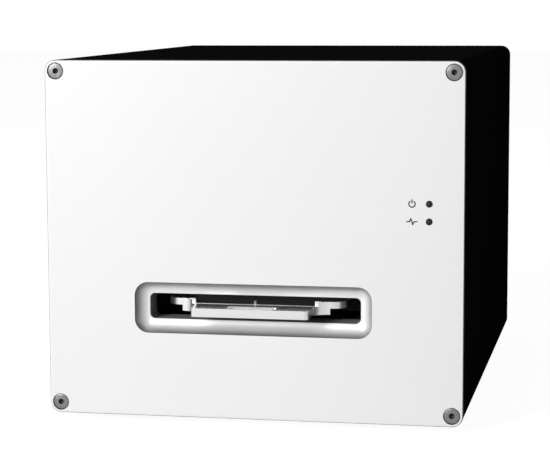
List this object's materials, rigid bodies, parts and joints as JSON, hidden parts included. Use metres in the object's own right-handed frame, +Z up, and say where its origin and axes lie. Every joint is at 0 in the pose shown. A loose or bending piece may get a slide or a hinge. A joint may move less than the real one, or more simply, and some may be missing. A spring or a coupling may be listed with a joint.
{
  "type": "digital slide scanner",
  "caption": "Compact box-shaped slide scanner: a motorised tray slides out of a scooped front slot and a moving head scans the slide inside.",
  "frame": {"origin": "on the table under the middle of the object at rest, feet on Z = 0", "axes": "+X to the viewer's right, +Y from the front panel to the back, +Z up"},
  "size_m": [0.19, 0.2784, 0.1657],
  "materials": {
    "white_panel": "aluminium plate with a smooth satin white coat",
    "black_shell": "black anodised aluminium, fine satin",
    "screw_steel": "zinc-grey steel",
    "black_plastic": "moulded dark plastic, fine texture",
    "foot_rubber": "matt black rubber",
    "indicator_lens": "dark tinted lens, unlit",
    "circuit_board": "green solder mask",
    "chip_plastic": "black moulded packages",
    "cable_sheath": "dark grey flexible sheath",
    "machined_alloy": "machined, fine tool marks",
    "dark_alloy": "matt black anodised",
    "tray_alloy": "silver anodised, fine bead-blasted satin",
    "ground_steel": "ground bearing steel",
    "motor_shell": "black end caps with a bare laminated waist",
    "drive_brass": "turned brass",
    "socket_steel": "pressed tin-plated shell",
    "socket_plastic": "moulded black plastic",
    "switch_plastic": "semi-gloss black plastic",
    "objective_chrome": "satin chrome barrel with a knurled ring",
    "lens_glass": "coated optical glass",
    "mirror_coat": "front-silvered mirror"
  },
  "bodies": {
    "chassis": {"enclosure_tube": "black_shell", "front_panel": "white_panel", "rear_panel": "black_shell", "panel_screws": "screw_steel", "slot_liner": "black_plastic", "rubber_feet": "foot_rubber", "foot_screws": "screw_steel", "indicator_leds": "indicator_lens", "indicator_board": "circuit_board", "indicator_cable": "cable_sheath", "cable_clips": "black_plastic", "base_plate": "machined_alloy", "tray_rail_supports": "machined_alloy", "stage_rails": "ground_steel", "tray_motor_bracket": "machined_alloy", "tray_motor": "motor_shell", "screw_bearings": "machined_alloy", "head_stage_base": "machined_alloy", "head_motor_bracket": "machined_alloy", "head_motor": "motor_shell", "home_sensors": "black_plastic", "main_board": "circuit_board", "board_standoffs": "drive_brass", "board_chips": "chip_plastic", "usb_socket": "socket_steel", "power_jack": "socket_plastic", "power_jack_nut": "screw_steel", "switch_housing": "switch_plastic"},
    "tray": {"slide_tray": "tray_alloy", "slide_stop_pin": "ground_steel", "slide_spring": "ground_steel", "tray_screws": "screw_steel", "tray_bridge": "dark_alloy", "tray_bearing_blocks": "ground_steel", "tray_drive_nut": "drive_brass"},
    "tray_screw": {"tray_lead_screw": "ground_steel"},
    "scan_head": {"scan_frame": "dark_alloy", "head_bearing_blocks": "ground_steel", "head_drive_nut": "drive_brass", "lamp_housing": "dark_alloy", "lamp_board": "circuit_board", "condenser_lens": "lens_glass", "mirror_block": "dark_alloy", "turning_mirror": "mirror_coat", "lens_tube": "dark_alloy", "tube_lens": "lens_glass", "tube_clamps": "dark_alloy", "camera_housing": "dark_alloy", "camera_board": "circuit_board", "camera_back": "dark_alloy", "focus_rail": "ground_steel", "focus_motor": "motor_shell"},
    "head_screw": {"head_lead_screw": "ground_steel"},
    "focus_stage": {"focus_carriage": "dark_alloy", "focus_bearing_block": "ground_steel", "focus_drive_nut": "drive_brass", "objective_barrel": "objective_chrome", "objective_lenses": "lens_glass"},
    "focus_screw": {"focus_lead_screw": "ground_steel"},
    "rocker": {"power_rocker": "switch_plastic"}
  },
  "joints": [
    {"name": "tray_slide", "type": "slide", "parent": "chassis", "child": "tray", "axis": [0, 1, 0], "range_m": [-0.038, 0.0515]},
    {"name": "tray_screw_spin", "type": "hinge", "parent": "chassis", "child": "tray_screw", "pos_m": [0.062, -0.11757, 0.04], "axis": [0, 1, 0], "range_deg": [-2318.5, 1711]},
    {"name": "head_slide", "type": "slide", "parent": "chassis", "child": "scan_head", "axis": [1, 0, 0], "range_m": [-0.026, 0.026]},
    {"name": "head_screw_spin", "type": "hinge", "parent": "chassis", "child": "head_screw", "pos_m": [0, 0.04893, 0.0235], "axis": [1, 0, 0], "range_deg": [-2341, 2341]},
    {"name": "focus_slide", "type": "slide", "parent": "scan_head", "child": "focus_stage", "axis": [0, 0, 1], "range_m": [-0.002, 0.003]},
    {"name": "focus_screw_spin", "type": "hinge", "parent": "scan_head", "child": "focus_screw", "pos_m": [0.026, -0.04083, 0.128], "axis": [0, 0, 1], "range_deg": [-1081, 721]},
    {"name": "rocker_tilt", "type": "hinge", "parent": "chassis", "child": "rocker", "pos_m": [-0.052, 0.13673, 0.044], "axis": [1, 0, 0], "range_deg": [-18, 0]}
  ],
  "couplings": [
    {"joint": "tray_screw_spin", "follows": "tray_slide", "rad_per_m": -785.4},
    {"joint": "head_screw_spin", "follows": "head_slide", "rad_per_m": -1570.8},
    {"joint": "focus_screw_spin", "follows": "focus_slide", "rad_per_m": -6283.2}
  ]
}
